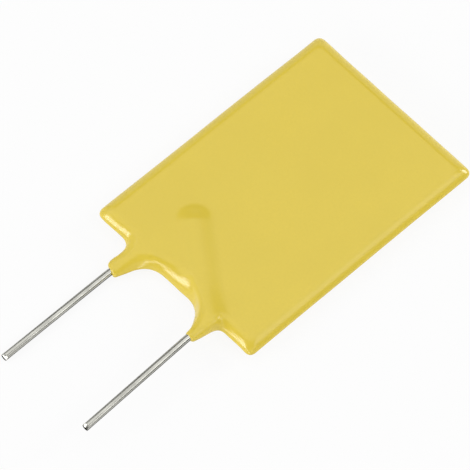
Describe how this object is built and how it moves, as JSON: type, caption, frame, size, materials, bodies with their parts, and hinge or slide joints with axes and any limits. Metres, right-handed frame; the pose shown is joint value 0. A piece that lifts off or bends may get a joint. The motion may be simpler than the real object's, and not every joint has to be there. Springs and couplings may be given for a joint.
{
  "type": "resettable fuse",
  "caption": "Flat rectangular resettable fuse: a yellow epoxy-coated polymer chip with wire leads from one edge, for through-hole overcurrent protection.",
  "frame": {"origin": "middle of the part's footprint, on the plane it lies on, with its rear face down", "axes": "+X across the body, +Y away from the leads along the body's length, +Z out of the front face"},
  "size_m": [0.0198, 0.0428, 0.0026],
  "materials": {
    "epoxy": "satin cured epoxy powder",
    "ptc_polymer": "carbon-filled polymer",
    "foil": "nickel-plated foil",
    "solder": "reflowed solder",
    "tinned_wire": "tinned copper, drawn"
  },
  "bodies": {
    "root": {"epoxy_coating": "epoxy", "polymer_ptc_core": "ptc_polymer", "front_foil_electrode": "foil", "rear_foil_electrode": "foil", "front_solder_joint": "solder", "rear_solder_joint": "solder", "front_lead": "tinned_wire", "rear_lead": "tinned_wire"}
  },
  "joints": []
}
